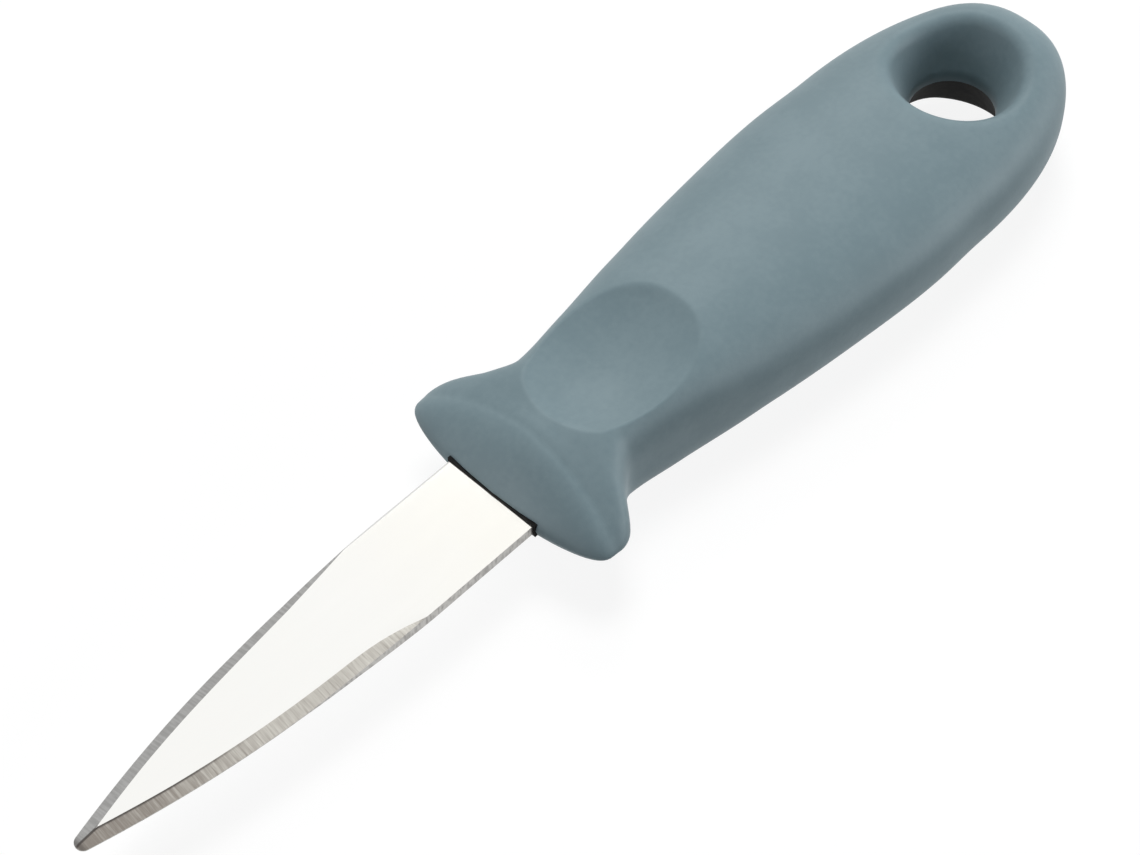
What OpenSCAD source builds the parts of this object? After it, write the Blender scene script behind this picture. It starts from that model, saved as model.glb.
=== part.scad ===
// Oyster knife: a ground stainless blade whose tang is moulded into a hard core
// and covered with a soft grip that has a flared guard, thumb hollows and a hanging hole.
// Millimetres. +X runs from the blade's tip to the butt, +Z up, the knife lying flat.
// The origin is at the centre of the overall box, on the surface that the knife lies on.

/* [Overall] */
// Length from the blade's tip to the butt
overall_l = 165; // [150:1:180]
// Length of blade that shows ahead of the guard's face
blade_out = 63; // [55:0.5:72]

/* [Blade] */
// Width where the edges run parallel
blade_w = 13.8; // [12:0.1:16]
// Thickness of the sheet that the blade is stamped from
blade_t = 1.5; // [1.2:0.1:2]
// Radius of the long arc of each edge
edge_arc_r = 217; // [190:1:260]
// Radius of the rounded tip
tip_r = 1.1; // [0.8:0.1:1.6]
// Width of the ground bevel, seen from above
grind_w = 1.4; // [1:0.05:1.8]
// Extra bevel width at the tip
grind_tip_extra = 0.3; // [0:0.05:0.5]
// Thickness left at the cutting edge
edge_land = 0.14; // [0.1:0.01:0.3]
// Distance from the tip at which the edge has its finest thickness
fine_edge_l = 28; // [20:1:32]
// Distance from the tip to the heel of the bevel on the -Y side
near_heel = 47; // [42:0.5:50]
// Distance from the tip to the heel of the bevel on the +Y side
far_heel = 44.3; // [40:0.5:50]
// Length over which the bevel runs out at its heel
heel_run = 5; // [3:0.5:8]

/* [Tang] */
// Length of full-width blade held inside the handle
root_l = 5; // [3:0.5:8]
// Width of the tang
tang_w = 8.4; // [6:0.1:10]
// Length of the narrow tang
tang_l = 52; // [40:1:56]
// Radius of the two holes that lock the tang in the core
tang_hole_r = 2; // [1.5:0.1:2.6]
// Distance from the tang's shoulder to the first hole
tang_hole_at = 14; // [8:0.5:18]
// Distance between the two holes
tang_hole_gap = 24; // [16:0.5:30]

/* [Guard] */
// Width over the guard's two lobes at the rim
guard_w = 32.5; // [28:0.1:36]
// Thickness of the guard at its rim
guard_t = 13.4; // [11:0.1:15]
// Depth of the domed face ahead of the rim
dome_l = 4.4; // [3:0.1:6]
// How far the rim leans back at the middle of the guard
rim_lean = 2.2; // [0.5:0.1:3]
// Squareness of the guard's section, where 2 is an ellipse
guard_form = 1.52; // [1.4:0.02:2]
// Fullness of the domed face towards the lobes, where 2 is round
lobe_form = 2.42; // [2:0.02:3]
// Fullness of the domed face towards the crest, where 1 is a straight slope
crest_form = 1.5; // [1.2:0.05:2.4]
// Length over which the guard's section turns into the grip's
form_l = 8; // [5:0.5:12]

/* [Grip] */
// Distance from the rim to the widest place of the lobes
land_at = 1.2; // [0.8:0.1:1.8]
// Width at the widest place of the lobes
land_w = 32.6; // [28:0.1:36]
// Thickness at the widest place of the lobes
land_t = 13.9; // [11:0.1:15]
// Distance from the rim to the lip, where the lobes round off
lip_at = 3; // [2:0.1:4]
// Width at the lip
lip_w = 31.4; // [28:0.1:35]
// Thickness at the lip
lip_t = 14.2; // [12:0.1:15]
// Distance from the rim to the middle of the flare
flare_at = 6; // [5:0.1:7.5]
// Width at the middle of the flare
flare_w = 24.6; // [22:0.1:27]
// Thickness at the middle of the flare
flare_t = 14.7; // [13:0.1:16]
// Distance from the rim to the neck
neck_at = 10; // [8.5:0.1:12]
// Width at the neck
neck_w = 20.5; // [18:0.1:23]
// Thickness at the neck
neck_t = 15.5; // [14:0.1:17]
// Distance from the rim to the thumb's place
thumb_at = 18; // [15:0.5:21]
// Width at the thumb's place
thumb_w = 22.4; // [20:0.1:25]
// Thickness at the thumb's place
thumb_t = 16.6; // [15:0.1:17.5]
// Distance from the rim to the start of the palm
palm_at = 29; // [26:0.5:32]
// Width at the start of the palm
palm_w = 26.3; // [24:0.1:29]
// Distance from the rim to the middle of the palm
swell_at = 45; // [40:0.5:50]
// Width at the middle of the palm
swell_w = 30.5; // [28:0.1:33]
// Distance from the rim to the widest place
belly_at = 60; // [56:0.5:64]
// Width at the widest place
belly_w = 32.5; // [30:0.1:35]
// Thickness of the palm and the butt
body_t = 17.6; // [16.8:0.1:19]
// Width where the rounding of the butt starts
butt_w = 32; // [30:0.1:34]
// Length of the butt's rounding, seen from above
butt_round = 29; // [24:0.5:32]
// Length of the butt's rounding, seen from the side
butt_roll = 9; // [6:0.5:12]
// Squareness of the grip's section, where 2 is an ellipse
grip_form = 2.5; // [2.1:0.05:3]
// Squareness of the butt's rounding, seen from above
butt_form = 2.2; // [2:0.05:2.6]
// Squareness of the butt's rounding, seen from the side
roll_form = 2.3; // [2:0.05:2.6]

/* [Thumb hollow] */
// Radius of the ball that shapes the hollow
hollow_r = 26; // [22:0.5:32]
// Height of the hollow's deepest place above the mid-plane
hollow_floor = 5.3; // [5:0.1:6.5]
// Distance from the rim to the deepest place of the hollow
hollow_at = 15; // [13:0.5:18]

/* [Hanging hole] */
// Distance from the butt's end to the hole's centre
hole_in = 16.2; // [15:0.1:18]
// Radius of the hole's waist
waist_r = 5.7; // [5:0.1:6.2]
// Length of the straight land at the waist
waist_l = 1.2; // [1:0.1:2]
// Radius of the funnel at its measured height
funnel_r = 8.6; // [7.6:0.1:9]
// Height above the mid-plane at which the funnel's radius is measured
funnel_at = 7; // [6.5:0.1:7.2]
// Radius at which the rounded rim leaves the face
rim_out = 11.2; // [10.6:0.1:12]

/* [Core] */
// Thickness of soft grip over the core
grip_wall = 2.2; // [1.8:0.1:2.8]
// Thickness of the core under the thumb hollows
core_neck_t = 7.6; // [6.5:0.1:8]
// Width of core showing round the blade at the guard
collar = 0.35; // [0.3:0.05:1.2]
// Depth of the collar behind the guard's face
collar_recess = 0.3; // [0.2:0.1:0.8]
// Radius of the core's eyelet round the lower half of the hole
eyelet_r = 9; // [8.6:0.1:9.4]

/* [Hidden] */

eps = 0.01;
// How far a cutting body reaches past what it cuts
over = 2;
mid_z = body_t / 2;
tip_x = -overall_l / 2;
butt_x = overall_l / 2;
face_x = tip_x + blade_out;
rim_x = face_x + dome_l;
handle_l = butt_x - rim_x;
butt_from = handle_l - butt_round;
hole_x = butt_x - hole_in;
hollow_x = rim_x + hollow_at;

// Rows of distance behind the rim, half width and half thickness
STATIONS = [
    [0, guard_w / 2, guard_t / 2],
    [land_at, land_w / 2, land_t / 2],
    [lip_at, lip_w / 2, lip_t / 2],
    [flare_at, flare_w / 2, flare_t / 2],
    [neck_at, neck_w / 2, neck_t / 2],
    [thumb_at, thumb_w / 2, thumb_t / 2],
    [palm_at, palm_w / 2, body_t / 2],
    [swell_at, swell_w / 2, body_t / 2],
    [belly_at, belly_w / 2, body_t / 2],
    [butt_from, butt_w / 2, body_t / 2]
];
LAST = len(STATIONS) - 1;

// Slope of the curve through column c at row i: flat at peaks and at both ends, elsewhere the parabola's
// slope, held below a multiple of the lesser rise so that the curve doesn't overshoot
steepest = 2.5;
function span(i) = STATIONS[i + 1][0] - STATIONS[i][0];
function rise(i, c) = (STATIONS[i + 1][c] - STATIONS[i][c]) / span(i);
function slope(i, c) =
    i <= 0 || i >= LAST ? 0 :
    let (before = rise(i - 1, c), after = rise(i, c))
    before * after <= 0 ? 0 :
    let (mean = (span(i) * before + span(i - 1) * after) / (span(i) + span(i - 1)))
    sign(mean) * min(abs(mean), steepest * min(abs(before), abs(after)));

// Smooth curve through column c at distance u behind the rim
function row_of(u, i = 0) = i >= LAST || u <= STATIONS[i + 1][0] ? i : row_of(u, i + 1);
function blend(i, c, t, h) =
    STATIONS[i][c] * (1 + 2 * t) * (1 - t) * (1 - t)
    + slope(i, c) * h * t * (1 - t) * (1 - t)
    + STATIONS[i + 1][c] * t * t * (3 - 2 * t)
    - slope(i + 1, c) * h * t * t * (1 - t);
function along(u, c) =
    let (i = row_of(u))
    i >= LAST ? STATIONS[LAST][c] :
    blend(i, c, (u - STATIONS[i][0]) / span(i), span(i));

// Share of the full size left within a rounded end of the given length
function rounded(u, length, form) =
    let (k = min(1, max(0, (u - handle_l + length) / length)))
    pow(1 - pow(k, form), 1 / form);
function smooth(k) = let (t = min(1, max(0, k))) t * t * (3 - 2 * t);

function half_w(u) = along(u, 1) * rounded(u, butt_round, butt_form);
function half_t(u) = along(u, 2) * rounded(u, butt_roll, roll_form);
function form_at(u) = guard_form + (grip_form - guard_form) * smooth(u / form_l);

// How far the rim leans back at y, which dies out over lean_l behind the rim
lean_l = 6;
function lean_at(u, y) =
    rim_lean * (1 - pow(2 * y / guard_w, 2)) * (u < 0 ? 1 + u / dome_l : exp(-pow(u / lean_l, 2)));

// Place of the domed face at y and height z: its fullness changes between the crest and the lobes
function dome_x(y, z) =
    let (side = pow(abs(2 * y / guard_w), guard_form), up = pow(abs(2 * z / guard_t), guard_form),
         share = min(1, pow(side + up, 1 / guard_form)), lobe = side / max(eps, side + up),
         form = crest_form + (lobe_form - crest_form) * lobe * lobe,
         u = -dome_l * pow(1 - pow(share, form), 1 / form))
    rim_x + u + lean_at(u, y);

// Thumb hollows: height z of the face, held below a ball over the hollow, with a narrow rounded rim
rim_blend = 0.25;
function soft_min(p, q) =
    let (near = max(0, 1 - abs(p - q) / rim_blend))
    min(p, q) - near * near * rim_blend / 4;
function pressed(x, y, z) =
    let (reach = pow(x - hollow_x, 2) + pow(y, 2))
    reach >= pow(hollow_r, 2) ? z : soft_min(z, hollow_floor + hollow_r - sqrt(pow(hollow_r, 2) - reach));

// Closed rings of n points: a flat section, one of the domed face and one of the grip behind the rim
function power(v, e) = sign(v) * pow(abs(v), e);
function section(w, t, form, n) = [
    for (k = [0:n - 1]) let (a = 360 * k / n) [w * power(cos(a), 2 / form), t * power(sin(a), 2 / form)]
];
function dome_ring(share, n) = [
    for (p = section(share * guard_w / 2, share * guard_t / 2, guard_form, n))
    [dome_x(p[0], p[1]), p[0], mid_z + p[1]]
];
function body_ring(u, n) = [
    for (p = section(half_w(u), half_t(u), form_at(u), n))
    let (x = rim_x + u + lean_at(u, p[0]))
    [x, p[0], mid_z + sign(p[1]) * pressed(x, p[0], abs(p[1]))]
];

// Closed solid through a list of rings with the same number of points, capped at two points
function middle(points) = [for (c = [0:2]) [for (p = points) p[c]] * [for (p = points) 1 / len(points)]];
module skin(rings, start, finish) {
    n = len(rings[0]);
    m = len(rings);
    points = concat([for (r = rings) each r], [start, finish]);
    faces = concat(
        [for (i = [0:m - 2]) for (k = [0:n - 1]) [i * n + k, (i + 1) * n + (k + 1) % n, i * n + (k + 1) % n]],
        [for (i = [0:m - 2]) for (k = [0:n - 1]) [i * n + k, (i + 1) * n + k, (i + 1) * n + (k + 1) % n]],
        [for (k = [0:n - 1]) [n * m, k, (k + 1) % n]],
        [for (k = [0:n - 1]) [n * m + 1, (m - 1) * n + (k + 1) % n, (m - 1) * n + k]]
    );
    polyhedron(points = points, faces = faces, convexity = 6);
}

// The grip's outside: rings lie close together in the guard and the neck and towards the end of the butt
OUTER_SIDES = 72;
DOME_STEPS = 8;
NECK_STEPS = 27;
PALM_STEPS = 9;
BUTT_STEPS = 13;
butt_crowding = 1.7;
BODY_U = concat(
    [for (k = [0:NECK_STEPS - 1]) palm_at * k / NECK_STEPS],
    [for (k = [0:PALM_STEPS - 1]) palm_at + (butt_from - palm_at) * k / PALM_STEPS],
    [for (k = [0:BUTT_STEPS]) handle_l - butt_round * pow(1 - k / (BUTT_STEPS + 0.5), butt_crowding)]
);

module grip_outside() {
    dome = [for (k = [1:DOME_STEPS]) dome_ring(sin(90 * k / (DOME_STEPS + 1)), OUTER_SIDES)];
    body = [for (u = BODY_U) body_ring(u, OUTER_SIDES)];
    skin(concat(dome, body), [face_x, 0, mid_z], [butt_x, 0, mid_z]);
}

// The core's own shape: an even wall inside the grip, thinned under the thumb hollows
CORE_SIDES = 28;
CORE_STEPS = 14;
core_start = 2.5;
core_end = handle_l - grip_wall;
core_crowding = 1.5;
core_taper = 0.35;
least_w = 1;
least_t = 0.6;
thicken_at = hollow_at + 8;
thicken_l = 12;
function core_w(u) = max(least_w, min(half_w(u), neck_w / 2 + (u - core_start) * core_taper) - grip_wall);
function core_t(u) =
    let (full = half_t(u) - grip_wall, thin = core_neck_t / 2)
    max(least_t, min(full, thin + (full - thin) * smooth((u - thicken_at) / thicken_l)));
CORE_U = [
    for (k = [0:CORE_STEPS])
    core_start + (core_end - core_start) * (1 - pow(1 - k / CORE_STEPS, core_crowding))
];

module core_body() {
    rings = [
        for (u = CORE_U)
        [for (p = section(core_w(u), core_t(u), grip_form, CORE_SIDES)) [rim_x + u, p[0], mid_z + p[1]]]
    ];
    skin(rings, middle(rings[0]), middle(rings[CORE_STEPS]));
}

// Hanging hole, alike above and below the mid-plane: a straight land at the waist, then a cone
// of radius cone_r + flare * z, then a rim whose round follows the outside all the way round
HOLE_SIDES = 64;
RIM_STEPS = 6;
flare = (funnel_r - waist_r) / (funnel_at - waist_l / 2);
cone_r = waist_r - flare * waist_l / 2;
cone_lap = waist_l / 4;
cone_from = waist_l / 2 - cone_lap;
cone_to = funnel_at + 0.5;
probe = 0.1;
function top_h(x, y) =
    let (u = x - rim_x, share = min(1, abs(y) / max(eps, half_w(u))))
    half_t(u) * pow(1 - pow(share, grip_form), 1 / grip_form);
function rim_h(r, a) = top_h(hole_x + r * cos(a), r * sin(a));

// Radius and height of the rim at angle a: from inside the cone, round to the face and out over it.
// Its foot stands a little outside the cone, so that the two cross between its first two rings
cone_gap = 0.03;
tuck = [0.35, 0.5];
lead = 1.2;
lift = 0.25;
function rim_curve(a) =
    let (fall = (rim_h(rim_out + probe, a) - rim_h(rim_out - probe, a)) / (2 * probe),
         face = [rim_out, rim_h(rim_out, a)],
         base = cone_r + cone_gap,
         z = (face[1] + fall * (base - rim_out)) / (1 - fall * flare),
         corner = [base + flare * z, z],
         foot = corner - norm(face - corner) * [flare, 1] / norm([flare, 1]))
    concat(
        [foot - tuck],
        [for (k = [0:RIM_STEPS]) let (t = k / RIM_STEPS)
            foot * (1 - t) * (1 - t) + corner * 2 * t * (1 - t) + face * t * t],
        [face + [lead, lead * fall + lift], [rim_out + lead, body_t / 2 + over]]
    );

module hole_half() {
    curves = [for (k = [0:HOLE_SIDES - 1]) rim_curve(360 * k / HOLE_SIDES)];
    rings = [
        for (i = [0:len(curves[0]) - 1])
        [for (k = [0:HOLE_SIDES - 1]) let (p = curves[k][i], a = 360 * k / HOLE_SIDES)
            [p[0] * cos(a), p[0] * sin(a), p[1]]]
    ];
    skin(rings, [0, 0, waist_l], [0, 0, body_t / 2 + over]);
    translate([0, 0, cone_from]) cylinder(h = cone_to - cone_from, r1 = cone_r + flare * cone_from,
        r2 = cone_r + flare * cone_to, $fn = HOLE_SIDES);
}

// The hole with its upper half (0), its lower half (1) or both
module hole_cut(halves) {
    translate([hole_x, 0, mid_z]) {
        cylinder(r = waist_r, h = waist_l + 2 * cone_lap, center = true, $fn = HOLE_SIDES);
        for (half = halves) mirror([0, 0, half]) hole_half();
    }
}

// Collar of core round the blade, from x back into the core's body. It ends a recess behind the place
// where the domed face has fallen back at the blade's edges
collar_x = dome_x(blade_w / 2, 0) + collar_recess;
collar_end = rim_x + core_start + over;
module collar_from(x) {
    translate([x, -(blade_w / 2 + collar), mid_z - blade_t / 2 - collar])
        cube([collar_end - x, blade_w + 2 * collar, blade_t + 2 * collar]);
}

// Round block under the hole, from height z up to the lower end of the waist's land
eyelet_top = mid_z - waist_l / 2;
module eyelet_from(z) {
    translate([hole_x, 0, z]) cylinder(r = eyelet_r, h = eyelet_top - z, $fn = HOLE_SIDES);
}

// The core's body, cut back above the eyelet so that the funnel's upper half is soft
module core_shell() {
    difference() {
        core_body();
        translate([hole_x, 0, eyelet_top])
            cylinder(r = funnel_r + grip_wall, h = body_t, $fn = HOLE_SIDES);
    }
}

// Distance from the tip at which the long arc meets the parallel edges
arc_end = tip_r + sqrt(pow(edge_arc_r - tip_r, 2) - pow(edge_arc_r - blade_w / 2, 2));
shoulder = blade_out + root_l;
function edge_y(s) =
    s >= arc_end ? blade_w / 2 : blade_w / 2 - edge_arc_r + sqrt(pow(edge_arc_r, 2) - pow(arc_end - s, 2));

module edge_disc(side) {
    translate([arc_end, side * (blade_w / 2 - edge_arc_r)]) circle(r = edge_arc_r, $fn = 720);
}

module blade_outline() {
    intersection() {
        edge_disc(-1);
        edge_disc(1);
        translate([tip_r, -blade_w]) square([arc_end - tip_r, 2 * blade_w]);
    }
    translate([tip_r, 0]) circle(r = tip_r, $fn = 48);
    translate([arc_end, -blade_w / 2]) square([shoulder - arc_end, blade_w]);
    difference() {
        union() {
            translate([shoulder - eps, -tang_w / 2]) square([tang_l - tang_w / 2 + eps, tang_w]);
            translate([shoulder + tang_l - tang_w / 2, 0]) circle(r = tang_w / 2, $fn = 64);
        }
        for (k = [0:1])
            translate([shoulder + tang_hole_at + k * tang_hole_gap, 0]) circle(r = tang_hole_r, $fn = 48);
    }
}

module blade_sheet() {
    translate([tip_x, 0, mid_z - blade_t / 2]) linear_extrude(height = blade_t) blade_outline();
}

// Bevel width and half thickness at the edge, at distance s from the tip
tip_zone = 12;
function bevel_w(s, heel) =
    let (k = (s - heel + heel_run) / heel_run)
    k <= 0 ? grind_w + grind_tip_extra * max(0, 1 - s / tip_zone) : grind_w * (1 - k * k);
function edge_half(s, heel) =
    s < fine_edge_l ? edge_land / 2 :
    edge_land / 2 + (blade_t / 2 - edge_land / 2) * (s - fine_edge_l) / (heel - fine_edge_l);
function bevel_slope(s, heel) = (blade_t / 2 - edge_half(s, heel)) / bevel_w(s, heel);

// Section of the metal ground away above the bevel. It reaches past the bevel inwards and outwards,
// and outwards it stays above the mid-plane
reach_in = 1;
reach_out = 0.6;
reach_share = 0.8;
function grind_section(s, heel) =
    let (g = bevel_slope(s, heel), e = edge_half(s, heel), b = edge_y(s), i = b - bevel_w(s, heel),
         out = min(reach_out, reach_share * e / g))
    [[s, i - reach_in, blade_t / 2 + reach_in * g], [s, b + out, e - out * g],
     [s, b + out + over, blade_t / 2 + over], [s, i - reach_in, blade_t / 2 + over]];

GRIND_STEPS = 16;
grind_from = -0.6;
heel_margin = 0.15;
module grind_cut(heel) {
    rings = [
        for (k = [0:GRIND_STEPS])
        grind_section(grind_from + (heel - heel_margin - grind_from) * k / GRIND_STEPS, heel)
    ];
    skin(rings, middle(rings[0]), middle(rings[GRIND_STEPS]));
}

// Cone that carries the bevel round the tip
tip_reach = 0.12;
module tip_cut() {
    g = (blade_t / 2 - edge_land / 2) / (grind_w + grind_tip_extra);
    intersection() {
        translate([tip_r, 0, 0]) rotate_extrude($fn = 72)
            polygon([[0, edge_land / 2 + tip_r * g], [tip_r + tip_reach, edge_land / 2 - tip_reach * g],
                [tip_r + over, blade_t], [0, blade_t]]);
        translate([-over, -over, 0]) cube([over + tip_r, 2 * over, blade_t + over]);
    }
}

module blade() {
    color([0.93, 0.92, 0.9])
    difference() {
        blade_sheet();
        translate([tip_x, 0, mid_z])
            for (face = [0:1]) mirror([0, 0, face]) {
                grind_cut(far_heel);
                mirror([0, 1, 0]) grind_cut(near_heel);
                tip_cut();
            }
    }
}

module handle_core() {
    color([0.11, 0.11, 0.11])
    difference() {
        union() {
            core_shell();
            eyelet_from(0);
            collar_from(collar_x);
        }
        blade_sheet();
        hole_cut([1]);
    }
}

module grip() {
    color([0.45, 0.54, 0.57])
    difference() {
        grip_outside();
        core_shell();
        eyelet_from(-over);
        collar_from(face_x - over);
        hole_cut([0, 1]);
    }
}

blade();
handle_core();
grip();
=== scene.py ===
"""Oyster knife, dressed for rendering.

The soft grip is one lofted skin with a domed guard, two thumb hollows and a hanging hole. The blade is a stamped
sheet with two ground edges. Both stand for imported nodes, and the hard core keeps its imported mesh. Sizes in the
classes are millimetres in the part's own frame, and each mesh is scaled to metres when it is finished.
"""
import logging
import math
from collections.abc import Callable, Iterable, Mapping
from dataclasses import dataclass
from enum import Enum, IntEnum
from functools import partial
from typing import Any

import bmesh
import bpy
from bmesh.types import BMEdge, BMesh, BMVert
from mathutils import Matrix, Vector


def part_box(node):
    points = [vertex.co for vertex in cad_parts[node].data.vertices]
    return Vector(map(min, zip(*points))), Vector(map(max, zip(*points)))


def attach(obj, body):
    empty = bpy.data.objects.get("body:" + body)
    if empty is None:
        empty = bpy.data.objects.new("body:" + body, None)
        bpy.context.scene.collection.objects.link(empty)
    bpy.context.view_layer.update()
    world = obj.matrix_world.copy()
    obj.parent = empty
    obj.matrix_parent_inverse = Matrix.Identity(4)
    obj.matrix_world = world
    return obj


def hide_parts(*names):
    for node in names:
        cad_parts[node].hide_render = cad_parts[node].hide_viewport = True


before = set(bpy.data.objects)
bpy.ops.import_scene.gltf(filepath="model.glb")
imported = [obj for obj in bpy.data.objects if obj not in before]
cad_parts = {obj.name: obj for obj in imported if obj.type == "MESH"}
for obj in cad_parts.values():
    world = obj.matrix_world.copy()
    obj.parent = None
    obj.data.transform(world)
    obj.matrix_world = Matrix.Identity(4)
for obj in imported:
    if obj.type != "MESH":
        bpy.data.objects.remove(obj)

# Metres in a millimetre
MM = 0.001
# Distance in millimetres under which two places count as one
NEAR = 0.001
# Half the side of a grid whose places run over one unit, from -0.5 to 0.5
HALF_UNIT = 0.5
BODY = "root"
ACROSS = "across"
LOG = logging.getLogger("oyster_knife")

Colour = tuple[float, float, float]
Triple = tuple[float, float, float]
Span = tuple[float, float]
Paint = Colour | bpy.types.NodeSocket
Place = Callable[[Vector], Vector]
Curve = Callable[[float], Vector]


class Slot(Enum):
    """Material slots of the record."""

    BLADE = "blade_steel"
    GRIP = "soft_grip"


class Zone(IntEnum):
    """Zones of the blade's surface, in the order of its material slots."""

    FLAT = 0
    BEVEL = 1
    SIDE = 2


def clamp_share(value: float) -> float:
    """Limits a value to the range from 0 to 1."""
    return min(1.0, max(0.0, value))


def smooth_share(value: float) -> float:
    """Eases a share in and out, with level ends at 0 and 1."""
    share = clamp_share(value)
    return share * share * (3 - 2 * share)


def signed_power(value: float, exponent: float) -> float:
    """Raises the size of a value to an exponent and keeps its sign."""
    return math.copysign(abs(value) ** exponent, value)


def soft_minimum(first: float, second: float, width: float) -> float:
    """Lesser of two values, rounded where they are less than a width apart.

    Args:
        first: One value.
        second: The other value.
        width: Difference below which the two blend.

    Returns:
        The rounded minimum, which is never more than either value.
    """
    nearness = max(0.0, 1 - abs(first - second) / width)
    return min(first, second) - nearness * nearness * width / 4


def steps(start: float, stop: float, count: int) -> list[float]:
    """Evenly spaced values from start to stop, both included."""
    return [start + (stop - start) * k / count for k in range(count + 1)]


@dataclass(frozen=True)
class Station:
    """One section of the handle: its distance behind the guard's rim, its width and its thickness."""

    behind: float
    width: float
    thickness: float


@dataclass(frozen=True)
class HandleForm:
    """Outside of the handle as formulas, in millimetres.

    The section at each distance behind the guard's rim is a superellipse. Its size follows a smooth curve through the
    stations, on which no slope is more than steepest times a neighbour's. Its squareness changes over form_length, and
    neck_extra is added between the places of neck_span. The face ahead of the rim is a dome, which is fuller towards
    the lobes at the sides than towards the crests, and whose middle leans back by rim_lean. The butt is rounded over
    butt_round seen from above and over butt_roll seen from the side.
    """

    face_x: float
    butt_x: float
    mid_z: float
    dome_depth: float = 4.4
    lobe_fullness: float = 2.42
    crest_fullness: float = 1.5
    steepest: float = 2.5
    rim_lean: float = 2.2
    lean_length: float = 6.0
    guard_squareness: float = 1.52
    grip_squareness: float = 2.5
    neck_extra: float = 0.9
    neck_span: tuple[float, float, float, float] = (3.0, 9.0, 14.0, 32.0)
    form_length: float = 8.0
    butt_round: float = 29.0
    butt_squareness: float = 2.2
    butt_roll: float = 9.0
    roll_squareness: float = 2.3
    hollow_behind_rim: float = 15.0
    hole_before_butt: float = 16.2
    guard_and_neck: tuple[Station, ...] = (
        Station(0, 32.5, 13.4),
        Station(1.2, 32.6, 13.9),
        Station(3, 31.4, 14.2),
        Station(6, 24.3, 14.7),
        Station(10, 19.8, 15.5),
        Station(18, 21.8, 16.6),
    )
    palm: tuple[Station, ...] = (
        Station(29, 26.3, 17.6),
        Station(45, 30.5, 17.6),
        Station(60, 32.5, 17.6),
    )
    butt_width: float = 32.0
    body_thickness: float = 17.6

    @property
    def rim_x(self) -> float:
        """Place of the guard's rim along the knife."""
        return self.face_x + self.dome_depth

    @property
    def length(self) -> float:
        """Length of the handle behind the guard's rim."""
        return self.butt_x - self.rim_x

    @property
    def hollow_x(self) -> float:
        """Place of the thumb hollows' centre along the knife."""
        return self.rim_x + self.hollow_behind_rim

    @property
    def hole_x(self) -> float:
        """Place of the hanging hole's axis along the knife."""
        return self.butt_x - self.hole_before_butt

    def stations(self) -> list[Station]:
        """All sections in order, from the guard's rim to where the butt's rounding starts."""
        last = Station(self.length - self.butt_round, self.butt_width, self.body_thickness)
        return [*self.guard_and_neck, *self.palm, last]

    def along(self, behind: float, measure: Callable[[Station], float]) -> float:
        """Smooth curve through one measure of the stations.

        Args:
            behind: Distance behind the guard's rim.
            measure: Picks the width or the thickness of a station.

        Returns:
            The measure at that distance, with no overshoot between stations.
        """
        rows = self.stations()
        last = len(rows) - 1
        i = next((k for k in range(last) if behind <= rows[k + 1].behind), last)
        if i == last:
            return measure(rows[last])

        def span(k: int) -> float:
            """Length between a station and the next."""
            return rows[k + 1].behind - rows[k].behind

        def rise(k: int) -> float:
            """Mean slope between a station and the next."""
            return (measure(rows[k + 1]) - measure(rows[k])) / span(k)

        def slope(k: int) -> float:
            """Slope of the curve at a station.

            Args:
                k: Number of the station.

            Returns:
                The weighted mean of the slopes beside it, or 0 at the ends and where the curve turns.
            """
            if k <= 0 or k >= last or rise(k - 1) * rise(k) <= 0:
                return 0.0
            mean = (span(k) * rise(k - 1) + span(k - 1) * rise(k)) / (span(k - 1) + span(k))
            return math.copysign(min(abs(mean), self.steepest * min(abs(rise(k - 1)), abs(rise(k)))), mean)

        gap = span(i)
        t = (behind - rows[i].behind) / gap
        start = measure(rows[i]) * (1 + 2 * t) * (1 - t) ** 2 + slope(i) * gap * t * (1 - t) ** 2
        end = measure(rows[i + 1]) * t * t * (3 - 2 * t) - slope(i + 1) * gap * t * t * (1 - t)
        return start + end

    def end_share(self, behind: float, length: float, squareness: float) -> float:
        """Share of the full size that is left within a rounded end of the given length.

        Args:
            behind: Distance behind the guard's rim.
            length: Length of the rounding at the butt.
            squareness: Exponent of the rounding.

        Returns:
            1 ahead of the rounding, falling to 0 at the butt.
        """
        share = clamp_share((behind - self.length + length) / length)
        return (1 - share**squareness) ** (1 / squareness)

    def half_width(self, behind: float) -> float:
        """Half of the handle's width at a distance behind the rim."""
        full = self.along(behind, lambda station: station.width) / 2
        return full * self.end_share(behind, self.butt_round, self.butt_squareness)

    def half_thickness(self, behind: float) -> float:
        """Half of the handle's thickness at a distance behind the rim."""
        full = self.along(behind, lambda station: station.thickness) / 2
        return full * self.end_share(behind, self.butt_roll, self.roll_squareness)

    def squareness(self, behind: float) -> float:
        """Exponent of the section's superellipse at a distance behind the rim.

        Args:
            behind: Distance behind the guard's rim.

        Returns:
            The exponent, where 2 is an ellipse and more is squarer.
        """
        change = self.grip_squareness - self.guard_squareness
        start, full, fade, end = self.neck_span
        neck = smooth_share((behind - start) / (full - start)) * (1 - smooth_share((behind - fade) / (end - fade)))
        return self.guard_squareness + change * smooth_share(behind / self.form_length) + self.neck_extra * neck

    def lean(self, behind: float, y: float) -> float:
        """How far the rim leans back at a place across the guard.

        Args:
            behind: Distance behind the guard's rim, below 0 on the dome.
            y: Place across the knife.

        Returns:
            Distance by which the surface is moved back there.
        """
        share = 1 - (2 * y / self.guard_and_neck[0].width) ** 2
        if behind < 0:
            return self.rim_lean * (1 + behind / self.dome_depth) * share
        return self.rim_lean * math.exp(-((behind / self.lean_length) ** 2)) * share

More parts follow.
